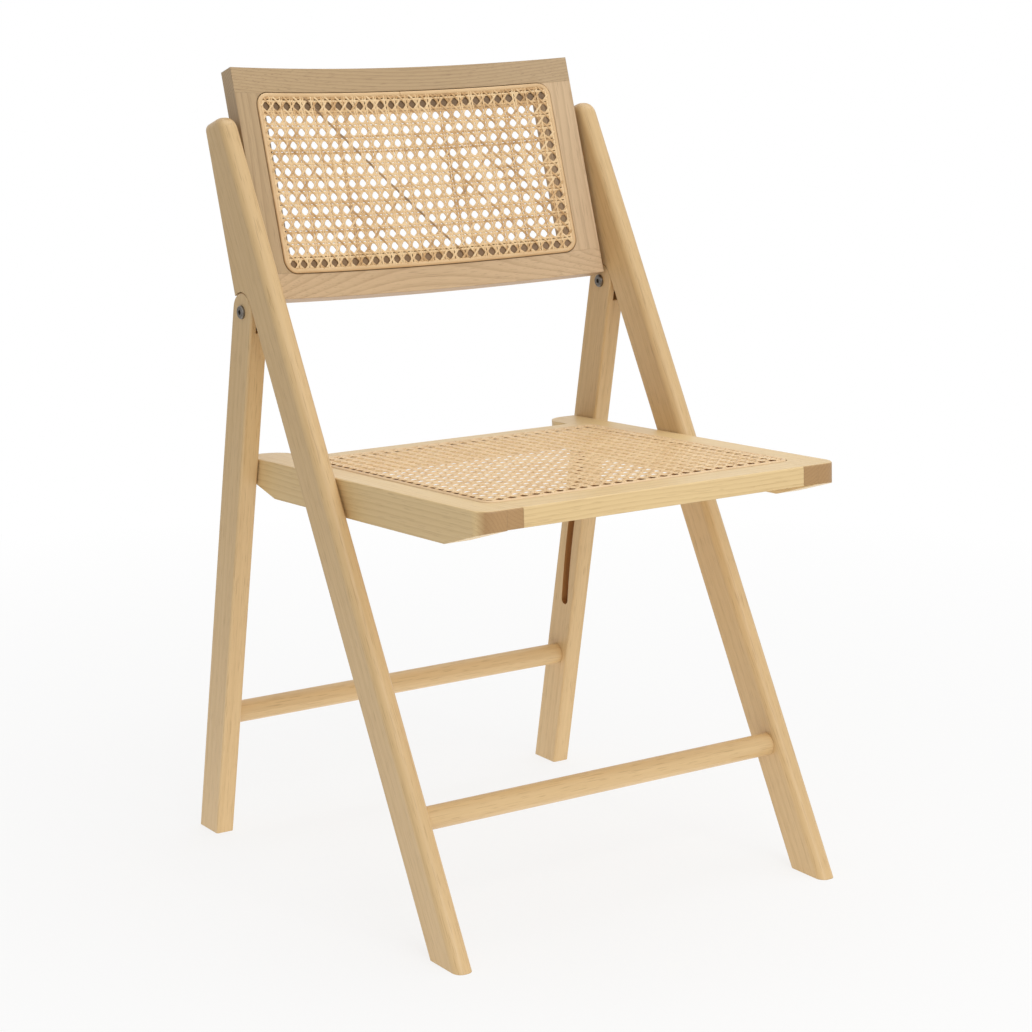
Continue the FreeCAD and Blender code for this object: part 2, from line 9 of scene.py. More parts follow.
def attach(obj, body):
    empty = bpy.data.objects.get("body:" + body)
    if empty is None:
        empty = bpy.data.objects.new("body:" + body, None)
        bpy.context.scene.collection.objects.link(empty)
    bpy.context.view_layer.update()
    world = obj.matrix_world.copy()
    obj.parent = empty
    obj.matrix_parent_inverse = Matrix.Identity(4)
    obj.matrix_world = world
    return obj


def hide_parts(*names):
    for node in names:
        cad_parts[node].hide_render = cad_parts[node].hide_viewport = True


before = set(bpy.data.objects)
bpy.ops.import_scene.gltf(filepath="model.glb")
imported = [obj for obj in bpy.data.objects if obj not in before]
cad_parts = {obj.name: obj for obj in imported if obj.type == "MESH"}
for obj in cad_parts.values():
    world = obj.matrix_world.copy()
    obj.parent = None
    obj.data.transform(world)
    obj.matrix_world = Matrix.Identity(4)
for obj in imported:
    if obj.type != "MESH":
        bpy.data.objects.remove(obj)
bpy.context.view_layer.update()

MM = 0.001

# Camera, as fitted to the photograph
CAMERA_PLACE = (-1.4222, -2.1139, 0.9196)
CAMERA_AZIMUTH = -34.049
CAMERA_ELEVATION = 12.381
CAMERA_ROLL = -0.115
CAMERA_LENS = 89.22
CAMERA_SENSOR = 36.0

# Lean of the pieces about X, in degrees, positive leaning back
FRONT_LEG_LEAN = 29.2
REAR_LEG_LEAN = -10.5
BACK_RECLINE = 18.0
SEAT_SLOPE = 2.5

# Bolts of the leg pivots, and the grooves of the rear legs measured from there
LEG_PIVOT = Vector((0.0, 0.13753, 0.572))
GROOVE_DEPTHS = (210.3 * MM, 219.0 * MM)
GROOVE_ACROSS = (-14.0 * MM, 12.0 * MM)
GROOVE_ALONG = (-395.0 * MM, -155.0 * MM)

# Backrest panel: front lower corners, curve and the reed outline
BACK_ORIGIN = Vector((0.0, 0.12303, 0.584))
BACK_HALF_WIDTH = 205.0 * MM
BACK_HEIGHT = 238.0 * MM
BACK_SAG = 21.6 * MM
BACK_RADIUS = (BACK_HALF_WIDTH ** 2 + BACK_SAG ** 2) / (2 * BACK_SAG)
BACK_BORDER = 25.0 * MM
BACK_SPLINE_CORNER = 15.0 * MM

# Seat: front top edge, and the reed outline
SEAT_ORIGIN = Vector((0.0, -0.26347, 0.4365))
SEAT_HALF_WIDTH = 209.0 * MM
SEAT_SPLINE_FRONT = 35.0 * MM
SEAT_SPLINE_REAR = 373.0 * MM
SEAT_SPLINE_SIDE = 29.5 * MM
SEAT_SPLINE_CORNER = 14.0 * MM

# Cane: six-way weave of paired strands with diagonals, as stretched in each panel.
# The pitch is across and along, the shift moves the weave along, and the offset is from a pair's middle.
# Diagonal and pair say how far those strands rise and fall, and tone how far their colours spread.
# The dark diagonal is the number of a stained strand, and samples are points for each pitch of a strand.
# The dip lowers the ends under the reed, and strands lie out of place by up to half the slip.
BACK_WEAVE = {
    "pitch": (12.99 * MM, 13.6 * MM),
    "shift": -2.6 * MM,
    "width": 2.35 * MM,
    "thickness": 0.7 * MM,
    "offset": 1.48 * MM,
    "diagonal": 0.58 * MM,
    "pair": 0.22 * MM,
    "tone": 0.85,
    "dark_diagonal": -3,
    "samples": 6.0,
    "dip": 0.0,
    "slip": 0.4 * MM,
}
SEAT_WEAVE = {
    "pitch": (13.35 * MM, 13.35 * MM),
    "shift": 0.0,
    "width": 2.65 * MM,
    "thickness": 0.7 * MM,
    "offset": 1.5 * MM,
    "diagonal": 0.5 * MM,
    "pair": 0.16 * MM,
    "tone": 0.45,
    "dark_diagonal": None,
    "samples": 3.7,
    "dip": 1.0 * MM,
    "slip": 0.7 * MM,
}
BACK_WEAVE_SEED = 11
SEAT_WEAVE_SEED = 23
DARK_TONE = 1.2
ROW_RISE = 1.4
CANE_LEVEL = 1.1 * MM
STRAND_TUCK = 1.6 * MM
STRAND_CLIP_STEP = 0.4 * MM
FEWEST_PIECES = 3
SHORTEST_STRAND = 1 / 3

# Section of a strand, as shares of its width and thickness
STRAND_SECTION = ((-0.5, 0.0), (-0.28, 0.5), (0.28, 0.5), (0.5, 0.0), (0.28, -0.5), (-0.28, -0.5))

# Reed spline. Each reed's rise is its shoulder, a share of its height, and then a dome to that power
SPLINE_GAP = 0.8 * MM
SPLINE_WIDTH = 5.0 * MM
SPLINE_BURIED = 2.2 * MM
SPLINE_STEP = 2.0 * MM
SPLINE_JOINT = 0.7 * MM
SPLINE_DOME_POINTS = 7
BACK_REED = {"proud": 2.0 * MM, "shoulder": 0.15, "power": 1.0}
SEAT_REED = {"proud": 1.5 * MM, "shoulder": 0.0, "power": 2.0}

# Painted shade on the ledge under the cane ends under the reed, also where the reed rounds its corners
LEDGE_INSET = 5.2 * MM


# Material helpers
def new_material(name):
    material = bpy.data.materials.new(name)
    material.use_nodes = True
    tree = material.node_tree
    shader = tree.nodes["Principled BSDF"]
    return material, tree, shader


def add(tree, kind, **settings):
    node = tree.nodes.new(kind)
    for key, value in settings.items():
        setattr(node, key, value)
    return node


def link(tree, source, target):
    tree.links.new(source, target)


def math_node(tree, operation, first, second=None, clamp=False):
    node = add(tree, "ShaderNodeMath", operation=operation, use_clamp=clamp)
    for socket, value in zip(node.inputs, (first, second)):
        if value is None:
            continue
        if isinstance(value, (int, float)):
            socket.default_value = value
        else:
            link(tree, value, socket)
    return node.outputs[0]


def weighted(tree, first, first_weight, second, second_weight):
    """Sum of two values, each times its weight."""
    first = math_node(tree, "MULTIPLY", first, first_weight)
    second = math_node(tree, "MULTIPLY", second, second_weight)
    return math_node(tree, "ADD", first, second)


def roughness_from(tree, shader, value, reach, least):
    rough = math_node(tree, "ADD", math_node(tree, "MULTIPLY", value, reach), least)
    link(tree, rough, shader.inputs["Roughness"])


def map_range(tree, value, before, after):
    node = add(tree, "ShaderNodeMapRange")
    link(tree, value, node.inputs["Value"])
    node.inputs["From Min"].default_value, node.inputs["From Max"].default_value = before
    node.inputs["To Min"].default_value, node.inputs["To Max"].default_value = after
    return node.outputs["Result"]


def dot(tree, vector, direction):
    node = add(tree, "ShaderNodeVectorMath", operation="DOT_PRODUCT")
    link(tree, vector, node.inputs[0])
    node.inputs[1].default_value = direction
    return node.outputs["Value"]


def scaled(tree, vector, scale):
    node = add(tree, "ShaderNodeVectorMath", operation="MULTIPLY")
    link(tree, vector, node.inputs[0])
    node.inputs[1].default_value = scale
    return node.outputs[0]


def noise(tree, vector, scale=1.0, detail=2.0, roughness=0.5):
    node = add(tree, "ShaderNodeTexNoise")
    link(tree, vector, node.inputs["Vector"])
    node.inputs["Scale"].default_value = scale
    node.inputs["Detail"].default_value = detail
    node.inputs["Roughness"].default_value = roughness
    return node


def ramp(tree, factor, stops):
    node = add(tree, "ShaderNodeValToRGB")
    link(tree, factor, node.inputs[0])
    elements = node.color_ramp.elements
    while len(elements) < len(stops):
        elements.new(0.5)
    for element, (place, colour) in zip(elements, stops):
        element.position = place
        element.color = (*colour, 1.0)
    return node.outputs[0]


def grey(value):
    return (value, value, value)


def mix(tree, factor, first, second, blend="MIX"):
    node = add(tree, "ShaderNodeMix", data_type="RGBA", blend_type=blend)
    for socket, value in ((node.inputs[0], factor), (node.inputs[6], first), (node.inputs[7], second)):
        if isinstance(value, (int, float)):
            socket.default_value = value
        elif isinstance(value, tuple):
            socket.default_value = (*value, 1.0)
        else:
            link(tree, value, socket)
    return node.outputs[2]


def bump(tree, shader, height, strength, distance):
    node = add(tree, "ShaderNodeBump")
    node.inputs["Strength"].default_value = strength
    node.inputs["Distance"].default_value = distance
    link(tree, height, node.inputs["Height"])
    link(tree, node.outputs[0], shader.inputs["Normal"])
    return node


# Wood: growth rings round a pith beside the piece, with fibres and pores along the grain
PALE_ASH = {"early": (0.680, 0.476, 0.240), "late": (0.505, 0.325, 0.138), "pore": (0.35, 0.205, 0.08)}
SEAT_ASH = {"early": (0.760, 0.560, 0.285), "late": (0.600, 0.410, 0.185), "pore": (0.41, 0.255, 0.105)}
# Painted light and shade: the back's ash in two copies, the darker on the left stile and top rail as shade,
# the lighter on the right stile and bottom rail as light
SHADED_BACK_ASH = {"early": (0.490, 0.345, 0.190), "late": (0.345, 0.225, 0.112), "pore": (0.20, 0.12, 0.058)}
LIT_BACK_ASH = {"early": (0.620, 0.440, 0.255), "late": (0.455, 0.300, 0.160), "pore": (0.28, 0.17, 0.083)}
DOWEL_BEECH = {"early": (0.62, 0.43, 0.24), "late": (0.55, 0.37, 0.20), "pore": (0.45, 0.29, 0.15)}

# Growth rings of each group of pieces: how far apart, and how much they weigh
LEG_RINGS = (7.5 * MM, 0.22)
SEAT_RINGS = (3.6 * MM, 0.50)
BACK_RINGS = (3.4 * MM, 0.60)
RING_TONES = ((0.0, 0.05), (0.55, 0.25), (0.9, 1.0), (1.0, 0.1))

# How quickly the wood's patterns change, twice across the grain and then along it
WANDER_SCALE = (9.0, 9.0, 1.6)
FIBRE_SCALE = (420.0, 420.0, 9.0)
PORE_SCALE = (1100.0, 1100.0, 42.0)
DRIFT_SCALE = (14.0, 14.0, 2.2)

# How far the rings wander, and how little they change along the grain
WANDER_REACH = (22.0 * MM, 22.0 * MM, 0.0)
PITH_SCALE = (1.0, 1.0, 0.012)

# How much each pattern shows
FIBRE_WEIGHT = 0.45
DRIFT_WEIGHT = 0.5
PALE_SHARE = 0.42
PORE_WEIGHT = 0.30
PORE_EDGES = (0.60, 0.70)
PLAIN_CONTRAST = 1.0
LEG_CONTRAST = 1.35
BACK_CONTRAST = 1.15

# How much darker end grain reads on each group of pieces, and how square on it has to be
LEG_END_SHADE = 0.3
SEAT_END_SHADE = 1.0
BACK_END_SHADE = 0.0
END_GRAIN_FROM = 0.35
END_GRAIN_FULL = 0.78

# Tints multiplied in, and how soft edges look
GROOVE_TINT = (0.66, 0.47, 0.33)
# Painted shade: the ledge under each panel of cane is darkened as if shaded by the cane
BACK_LEDGE_SHADE = (0.40, 0.33, 0.26)
SEAT_LEDGE_SHADE = (0.66, 0.45, 0.31)
END_GRAIN_TINT = (0.58, 0.47, 0.40)
EDGE_SOFTNESS = 0.9 * MM


def turned_place(tree, coordinates, turn, origin):
    """X, Y and Z of a point from an origin, after a turn about X in degrees."""
    mapping = add(tree, "ShaderNodeMapping")
    mapping.inputs["Rotation"].default_value = (math.radians(turn), 0.0, 0.0)
    start = Matrix.Rotation(math.radians(turn), 3, "X") @ origin
    mapping.inputs["Location"].default_value = -start
    link(tree, coordinates.outputs["Object"], mapping.inputs["Vector"])
    parts = add(tree, "ShaderNodeSeparateXYZ")
    link(tree, mapping.outputs[0], parts.inputs[0])
    return parts.outputs


def within(tree, value, low, high):
    node = add(tree, "ShaderNodeMath", operation="COMPARE")
    link(tree, value, node.inputs[0])
    node.inputs[1].default_value = (low + high) / 2
    node.inputs[2].default_value = (high - low) / 2
    return node.outputs[0]


def ledge_shade_mask(turn, origin, outline, facing):
    """One on the ledge under a panel of cane, on the side that faces the cane, where shade is painted."""
    def mask(tree, coordinates):
        place = turned_place(tree, coordinates, turn, origin)
        across = within(tree, place["X"], -outline.half_width, outline.half_width)
        along = within(tree, place["Z"], outline.low, outline.high)
        towards = dot(tree, coordinates.outputs["Normal"], facing)
        front = math_node(tree, "GREATER_THAN", towards, 0.5)
        return math_node(tree, "MULTIPLY", math_node(tree, "MULTIPLY", across, along), front)
    return mask


def groove_mask(tree, coordinates):
    """One on the walls of the groove in a rear leg's inner face, which are coloured darker."""
    place = turned_place(tree, coordinates, REAR_LEG_LEAN, LEG_PIVOT)
    side = within(tree, math_node(tree, "ABSOLUTE", place["X"]), *GROOVE_DEPTHS)
    across = within(tree, place["Y"], *GROOVE_ACROSS)
    along = within(tree, place["Z"], *GROOVE_ALONG)
    return math_node(tree, "MULTIPLY", math_node(tree, "MULTIPLY", side, across), along)


def wood(name, tones, turn, pith, rings, contrast=PLAIN_CONTRAST, end_shade=LEG_END_SHADE, stain_and_shade=None):
    """Wood with its grain along the direction that the turn, in degrees, brings to Z."""
    rings_apart, ring_weight = rings
    material, tree, shader = new_material(name)
    coordinates = add(tree, "ShaderNodeTexCoord")
    mapping = add(tree, "ShaderNodeMapping")
    mapping.inputs["Rotation"].default_value = [math.radians(angle) for angle in turn]
    link(tree, coordinates.outputs["Object"], mapping.inputs["Vector"])
    grain = mapping.outputs[0]

    # Slow wander of the rings along the piece
    wander = noise(tree, scaled(tree, grain, WANDER_SCALE))
    shift = add(tree, "ShaderNodeVectorMath", operation="SUBTRACT")
    link(tree, wander.outputs["Color"], shift.inputs[0])
    shift.inputs[1].default_value = (0.5, 0.5, 0.5)
    wandered = add(tree, "ShaderNodeVectorMath", operation="MULTIPLY_ADD")
    link(tree, shift.outputs[0], wandered.inputs[0])
    wandered.inputs[1].default_value = WANDER_REACH
    link(tree, grain, wandered.inputs[2])
    from_pith = add(tree, "ShaderNodeVectorMath", operation="SUBTRACT")
    link(tree, scaled(tree, wandered.outputs[0], PITH_SCALE), from_pith.inputs[0])
    from_pith.inputs[1].default_value = (*pith, 0.0)
    length = add(tree, "ShaderNodeVectorMath", operation="LENGTH")
    link(tree, from_pith.outputs[0], length.inputs[0])
    ring = math_node(tree, "FRACT", math_node(tree, "DIVIDE", length.outputs["Value"], rings_apart))
    late = ramp(tree, ring, [(place, grey(tone)) for place, tone in RING_TONES])

    # Fibres, pores and slow colour drift
    fibre = noise(tree, scaled(tree, grain, FIBRE_SCALE), detail=3.0, roughness=0.6).outputs[0]
    pores = noise(tree, scaled(tree, grain, PORE_SCALE), detail=1.0).outputs[0]
    pore_mask = ramp(tree, pores, ((PORE_EDGES[0], grey(0.0)), (PORE_EDGES[1], grey(1.0))))
    drift = noise(tree, scaled(tree, grain, DRIFT_SCALE)).outputs[0]

    amount = math_node(tree, "MULTIPLY", late, ring_weight)
    amount = math_node(tree, "ADD", amount, math_node(tree, "MULTIPLY", fibre, FIBRE_WEIGHT * contrast))
    amount = math_node(tree, "ADD", amount, math_node(tree, "MULTIPLY", drift, DRIFT_WEIGHT))
    amount = math_node(tree, "SUBTRACT", amount, PALE_SHARE, clamp=True)
    colour = mix(tree, amount, tones["early"], tones["late"])
    pore_amount = math_node(tree, "MULTIPLY", pore_mask, PORE_WEIGHT * contrast)
    colour = mix(tree, pore_amount, colour, tones["pore"])

    # End grain drinks more finish and reads darker
    axis = Matrix.Rotation(math.radians(turn[0]), 3, "X").inverted()
    if turn[1]:
        axis = Matrix.Rotation(math.radians(turn[1]), 3, "Y").inverted()
    facing = dot(tree, coordinates.outputs["Normal"], axis @ Vector((0.0, 0.0, 1.0)))
    end = math_node(tree, "ABSOLUTE", facing)
    end_mask = ramp(tree, end, ((END_GRAIN_FROM, grey(0.0)), (END_GRAIN_FULL, grey(end_shade))))
    colour = mix(tree, end_mask, colour, mix(tree, 1.0, colour, END_GRAIN_TINT, "MULTIPLY"))
    # Painted shade on the ledges under the cane; the rear legs' groove walls are coloured darker
    if stain_and_shade is not None:
        mask, tint = stain_and_shade
        colour = mix(tree, mask(tree, coordinates), colour, mix(tree, 1.0, colour, tint, "MULTIPLY"))
    link(tree, colour, shader.inputs["Base Color"])

    roughness_from(tree, shader, fibre, reach=0.26, least=0.28)
    relief = math_node(tree, "SUBTRACT", math_node(tree, "MULTIPLY", fibre, 0.5), pore_mask)
    surface = bump(tree, shader, relief, strength=0.22, distance=0.25 * MM)
    soft_edge = add(tree, "ShaderNodeBevel", samples=4)
    soft_edge.inputs["Radius"].default_value = EDGE_SOFTNESS
    link(tree, soft_edge.outputs[0], surface.inputs["Normal"])
    return material


# Colours of cane, reed and steel, each after its place on the scale of tones
CANE_TONES = (
    (0.30, (0.87, 0.655, 0.385)),
    (0.58, (0.78, 0.545, 0.290)),
    (0.82, (0.55, 0.325, 0.135)),
    (1.0, (0.27, 0.165, 0.080)),
)
BACK_REED_TONES = ((0.30, (0.77, 0.550, 0.305)), (0.70, (0.62, 0.395, 0.190)))
SEAT_REED_TONES = ((0.30, (0.80, 0.600, 0.360)), (0.70, (0.68, 0.460, 0.250)))
STEEL_TONES = ((0.30, (0.13, 0.115, 0.098)), (0.70, (0.27, 0.245, 0.215)))
REED_LINE_SCALE = (2600.0, 22.0, 1.0)


def cane_material():
    material, tree, shader = new_material("woven_cane")
    strand = add(tree, "ShaderNodeAttribute", attribute_name="strand_tone")
    coordinates = add(tree, "ShaderNodeTexCoord")
    speckle = noise(tree, coordinates.outputs["Object"], scale=160.0, detail=3.0, roughness=0.65).outputs[0]
    blotch = noise(tree, coordinates.outputs["Object"], scale=28.0).outputs[0]
    tone = weighted(tree, strand.outputs["Fac"], 0.45, speckle, 0.55)
    tone = math_node(tree, "ADD", tone, math_node(tree, "MULTIPLY", blotch, 0.3))
    colour = ramp(tree, tone, CANE_TONES)
    link(tree, colour, shader.inputs["Base Color"])
    roughness_from(tree, shader, speckle, reach=0.25, least=0.30)
    bump(tree, shader, speckle, strength=0.15, distance=0.2 * MM)
    return material


def reed_material(name, tones):
    material, tree, shader = new_material(name)
    across = add(tree, "ShaderNodeAttribute", attribute_name="reed_place")
    coordinates = add(tree, "ShaderNodeTexCoord")
    lines = noise(tree, scaled(tree, across.outputs["Vector"], REED_LINE_SCALE)).outputs[0]
    drift = noise(tree, coordinates.outputs["Object"], scale=35.0).outputs[0]
    tone = weighted(tree, lines, 0.6, drift, 0.4)
    colour = ramp(tree, tone, tones)
    link(tree, colour, shader.inputs["Base Color"])
    roughness_from(tree, shader, lines, reach=0.25, least=0.32)
    bump(tree, shader, lines, strength=0.25, distance=0.2 * MM)
    return material


def steel_material():
    material, tree, shader = new_material("zinc_steel")
    coordinates = add(tree, "ShaderNodeTexCoord")
    grain = noise(tree, coordinates.outputs["Object"], scale=900.0, detail=3.0, roughness=0.6).outputs[0]
    stain_and_shade = noise(tree, coordinates.outputs["Object"], scale=210.0).outputs[0]
    tone = weighted(tree, grain, 0.4, stain_and_shade, 0.6)
    colour = ramp(tree, tone, STEEL_TONES)
    link(tree, colour, shader.inputs["Base Color"])
    shader.inputs["Metallic"].default_value = 1.0
    roughness_from(tree, shader, grain, reach=0.3, least=0.22)
    bump(tree, shader, grain, strength=0.12, distance=0.1 * MM)
    return material


# Surfaces that cane and reed lie on: across, along the panel and out of it
def on_back(across, along, out):
    depth = BACK_SAG - BACK_RADIUS + math.sqrt((BACK_RADIUS - out) ** 2 - across ** 2)
    lean = math.radians(BACK_RECLINE)
    y = depth * math.cos(lean) + along * math.sin(lean)
    z = -depth * math.sin(lean) + along * math.cos(lean)
    return BACK_ORIGIN + Vector((across, y, z))


def on_seat(across, along, out):
    slope = math.radians(SEAT_SLOPE)
    y = along * math.cos(slope) + out * math.sin(slope)
    z = -along * math.sin(slope) + out * math.cos(slope)
    return SEAT_ORIGIN + Vector((across, y, z))


# Rounded rectangle that bounds a panel of cane: half width, low and high ends, corner radius
class Outline:
    def __init__(self, half_width, low, high, corner):
        self.half_width = half_width
        self.low = low
        self.high = high
        self.corner = corner

    def inset(self, distance):
        return Outline(
            self.half_width - distance, self.low + distance, self.high - distance, self.corner - distance
        )

    def holds(self, across, along):
        over_x = abs(across) - (self.half_width - self.corner)
        over_y = abs(along - (self.low + self.high) / 2) - ((self.high - self.low) / 2 - self.corner)
        if over_x <= 0 or over_y <= 0:
            return over_x <= self.corner and over_y <= self.corner
        return math.hypot(over_x, over_y) <= self.corner

    def path(self, step):
        """Points round the outline from the middle of the high end, with outward directions."""
        corners = (
            (self.half_width - self.corner, self.high - self.corner, 90.0),
            (self.half_width - self.corner, self.low + self.corner, 0.0),
            (-self.half_width + self.corner, self.low + self.corner, -90.0),
            (-self.half_width + self.corner, self.high - self.corner, -180.0),
        )
        points = [((0.0, self.high), (0.0, 1.0))]
        bends = max(4, round(self.corner * math.pi / 2 / step))
        for x, y, start in corners:
            for bend in range(bends + 1):
                angle = math.radians(start - 90.0 * bend / bends)
                out = (math.cos(angle), math.sin(angle))
                points.append(((x + out[0] * self.corner, y + out[1] * self.corner), out))
        points.append(((0.0, self.high), (0.0, 1.0)))
        dense = [points[0]]
        for (a, out_a), (b, out_b) in zip(points, points[1:]):
            pieces = max(1, round(math.hypot(b[0] - a[0], b[1] - a[1]) / step))
            for piece in range(1, pieces + 1):
                share = piece / pieces
                place = (a[0] + (b[0] - a[0]) * share, a[1] + (b[1] - a[1]) * share)
                dense.append((place, out_b if share > 0.5 else out_a))
        return dense


back_outline = Outline(
    BACK_HALF_WIDTH - BACK_BORDER, BACK_BORDER, BACK_HEIGHT - BACK_BORDER, BACK_SPLINE_CORNER
)
seat_outline = Outline(
    SEAT_HALF_WIDTH - SEAT_SPLINE_SIDE, SEAT_SPLINE_FRONT, SEAT_SPLINE_REAR, SEAT_SPLINE_CORNER
)


# Cane strands and reed
def strand_lines(outline, weave):
    """Each strand as (start, direction, lift function, dark): pairs both ways, single diagonals both ways."""
    pitch_x, pitch_y = weave["pitch"]
    offset = weave["offset"]
    diagonal = weave["diagonal"]
    pair = weave["pair"]
    columns = math.ceil(outline.half_width / pitch_x) + 1
    rows = math.ceil((outline.high - outline.low) / 2 / pitch_y) + 1
    lines = []
    for column in range(-columns, columns):
        for side in (-1, 1):
            lift = lambda x, y, side=side: -side * pair * (1 - math.cos(2 * math.pi * y / pitch_y)) / 2
            lines.append((((column + 0.5) * pitch_x + side * offset, 0.0), (0.0, 1.0), lift, False))
    for row in range(-rows, rows):
        for side in (-1, 1):
            lift = lambda x, y: ROW_RISE * pair * math.sin(2 * math.pi * x / pitch_x)
            lines.append(((0.0, (row + 0.5) * pitch_y + side * offset), (1.0, 0.0), lift, False))
    reach = columns + rows
    length = math.hypot(pitch_x, pitch_y)
    right = (pitch_x / length, pitch_y / length)
    left = (-pitch_x / length, pitch_y / length)
    for step in range(-reach, reach):
        start = ((step + 0.5) * pitch_x, 0.0)
        over = lambda x, y: -diagonal * math.cos(2 * math.pi * x / pitch_x)
        under = lambda x, y: diagonal * math.cos(2 * math.pi * x / pitch_x)
        lines.append((start, right, over, False))
        lines.append((start, left, under, step == weave["dark_diagonal"]))
    return lines


def clip_to_outline(outline, start, direction, step):
    """First and last distance along a line that lie inside the outline."""
    reach = outline.half_width + outline.high - outline.low
    inside = []
    distance = -reach
    while distance <= reach:
        if outline.holds(start[0] + direction[0] * distance, start[1] + direction[1] * distance):
            inside.append(distance)
        distance += step
    return (inside[0], inside[-1]) if len(inside) > 1 else None


def weave_mesh(name, outline, surface, weave, seed):
    """Strands of one panel, with the tone of each in an attribute."""
    tones = random.Random(seed)
    slips = random.Random(seed + 1)
    bounds = outline.inset(SPLINE_GAP + SPLINE_WIDTH - STRAND_TUCK)
    middle_along = (outline.low + outline.high) / 2 + weave["shift"]
    vertices = []
    faces = []
    strand_tones = []
    sides = len(STRAND_SECTION)
    for (x, y), direction, lift, dark in strand_lines(outline, weave):
        tone = tones.random() * weave["tone"]
        if dark:
            tone = DARK_TONE
        across = (-direction[1], direction[0])
        slip = (slips.random() - 0.5) * weave["slip"]
        start = (x + across[0] * slip, y + middle_along + across[1] * slip)
        span = clip_to_outline(bounds, start, direction, STRAND_CLIP_STEP)
        if span is None:
            continue
        pitches = (span[1] - span[0]) / weave["pitch"][0]
        if pitches < SHORTEST_STRAND:
            continue
        pieces = max(FEWEST_PIECES, round(pitches * weave["samples"]))
        first = len(vertices)
        for piece in range(pieces + 1):
            distance = span[0] + (span[1] - span[0]) * piece / pieces
            centre_x = start[0] + direction[0] * distance
            centre_y = start[1] + direction[1] * distance
            height = CANE_LEVEL + lift(centre_x, centre_y - middle_along)
            if weave["dip"] and piece in (0, pieces):
                height = CANE_LEVEL - weave["dip"]
            for side_out, side_up in STRAND_SECTION:
                point = surface(
                    centre_x + across[0] * side_out * weave["width"],
                    centre_y + across[1] * side_out * weave["width"],
                    height + side_up * weave["thickness"],
                )
                vertices.append(point)
                strand_tones.append(tone)
        for piece in range(pieces):
            for side in range(sides):
                a = first + piece * sides + side
                b = first + piece * sides + (side + 1) % sides
                faces.append((a, b, b + sides, a + sides))
        faces.append(tuple(first + side for side in reversed(range(sides))))
        faces.append(tuple(first + pieces * sides + side for side in range(sides)))
    mesh = bpy.data.meshes.new(name)
    mesh.from_pydata(vertices, [], faces)
    mesh.update()
    attribute = mesh.attributes.new("strand_tone", "FLOAT", "POINT")
    attribute.data.foreach_set("value", strand_tones)
    return mesh


def spline_mesh(name, outline, surface, reed):
    """Reed with a domed top, pressed in its groove and butt-jointed in the middle of one end."""
    half = SPLINE_WIDTH / 2
    section = [(-half, -SPLINE_BURIED)]
    for place in range(SPLINE_DOME_POINTS):
        angle = math.pi - math.pi * place / (SPLINE_DOME_POINTS - 1)
        rise = reed["shoulder"] + (1 - reed["shoulder"]) * math.sin(angle) ** reed["power"]
        section.append((half * math.cos(angle), reed["proud"] * rise))
    section.append((half, -SPLINE_BURIED))
    path = outline.inset(SPLINE_GAP + half).path(SPLINE_STEP)
    vertices = []
    places = []
    run = 0.0
    previous = path[0][0]
    for index, (place, out) in enumerate(path):
        run += math.hypot(place[0] - previous[0], place[1] - previous[1])
        previous = place
        shift = SPLINE_JOINT / 2 if index == 0 else -SPLINE_JOINT / 2 if index == len(path) - 1 else 0.0
        for side, up in section:
            vertices.append(surface(place[0] + out[0] * side + shift, place[1] + out[1] * side, up))
            places.append((side, run, 0.0))
    sides = len(section)
    faces = []
    for index in range(len(path) - 1):
        for side in range(sides):
            a = index * sides + side
            b = index * sides + (side + 1) % sides
            faces.append((a, a + sides, b + sides, b))
    faces.append(tuple(range(sides)))
    faces.append(tuple(reversed(range((len(path) - 1) * sides, len(path) * sides))))
    mesh = bpy.data.meshes.new(name)
    mesh.from_pydata(vertices, [], faces)
    mesh.update()
    attribute = mesh.attributes.new("reed_place", "FLOAT_VECTOR", "POINT")
    attribute.data.foreach_set("vector", [value for place in places for value in place])
    return mesh


def add_piece(name, mesh, material, body, replaced):
    piece = bpy.data.objects.new(name, mesh)
    bpy.context.scene.collection.objects.link(piece)
    mesh.materials.append(material)
    for face in mesh.polygons:
        face.use_smooth = True
    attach(piece, body)
    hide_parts(replaced)


def dress_node(name, material):
    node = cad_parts[name]
    if not node.material_slots:
        node.data.materials.append(material)
    for place in node.material_slots:
        place.material = material


# Wood of each piece: turn that brings its grain to Z, and where the pith lies beside it
ALONG_X = (0.0, -90.0, 0.0)
ALONG_FRONT_LEG = (FRONT_LEG_LEAN, 0.0, 0.0)
ALONG_REAR_LEG = (REAR_LEG_LEAN, 0.0, 0.0)
ALONG_SEAT = (90.0 + SEAT_SLOPE, 0.0, 0.0)
ALONG_BACK = (BACK_RECLINE, 0.0, 0.0)
seat_up = Vector((0.0, math.sin(math.radians(SEAT_SLOPE)), math.cos(math.radians(SEAT_SLOPE))))
back_front = Vector((0.0, -math.cos(math.radians(BACK_RECLINE)), math.sin(math.radians(BACK_RECLINE))))
# Painted shade: the ledges under the cane are darkened where the cane shades them
seat_shade_mask = ledge_shade_mask(ALONG_SEAT[0], SEAT_ORIGIN, seat_outline.inset(LEDGE_INSET), seat_up)
back_shade_mask = ledge_shade_mask(ALONG_BACK[0], BACK_ORIGIN, back_outline.inset(LEDGE_INSET), back_front)
seat_shaded_ledge = (seat_shade_mask, SEAT_LEDGE_SHADE)
back_shaded_ledge = (back_shade_mask, BACK_LEDGE_SHADE)
# The walls of the rear legs' grooves are coloured darker
groove_darkening = (groove_mask, GROOVE_TINT)


def dress_leg(name, turn, pith, stain_and_shade=None):
    finish = wood("wood_" + name, PALE_ASH, turn, pith, LEG_RINGS, LEG_CONTRAST, LEG_END_SHADE, stain_and_shade)
    dress_node(name, finish)


